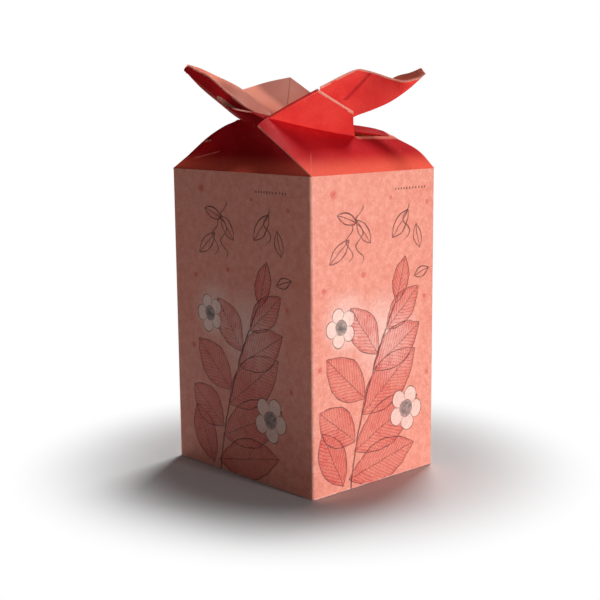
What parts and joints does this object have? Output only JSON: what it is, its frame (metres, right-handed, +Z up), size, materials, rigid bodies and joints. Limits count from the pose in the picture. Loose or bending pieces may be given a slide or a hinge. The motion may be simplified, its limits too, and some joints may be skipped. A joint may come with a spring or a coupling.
{
  "type": "tea carton",
  "caption": "Tall shut card carton for tea, with a rectangular body, a sloping shoulder and a folded top that opens out into petals and wings.",
  "frame": {"origin": "centre of the base, on the surface that it stands on", "axes": "+Z up towards the folded top; the wide walls face -Y and +Y, the narrow walls -X and +X"},
  "size_m": [0.084, 0.068, 0.165],
  "materials": {
    "card": "satin printed card"
  },
  "bodies": {
    "root": {"tea_carton": "card"}
  },
  "joints": []
}
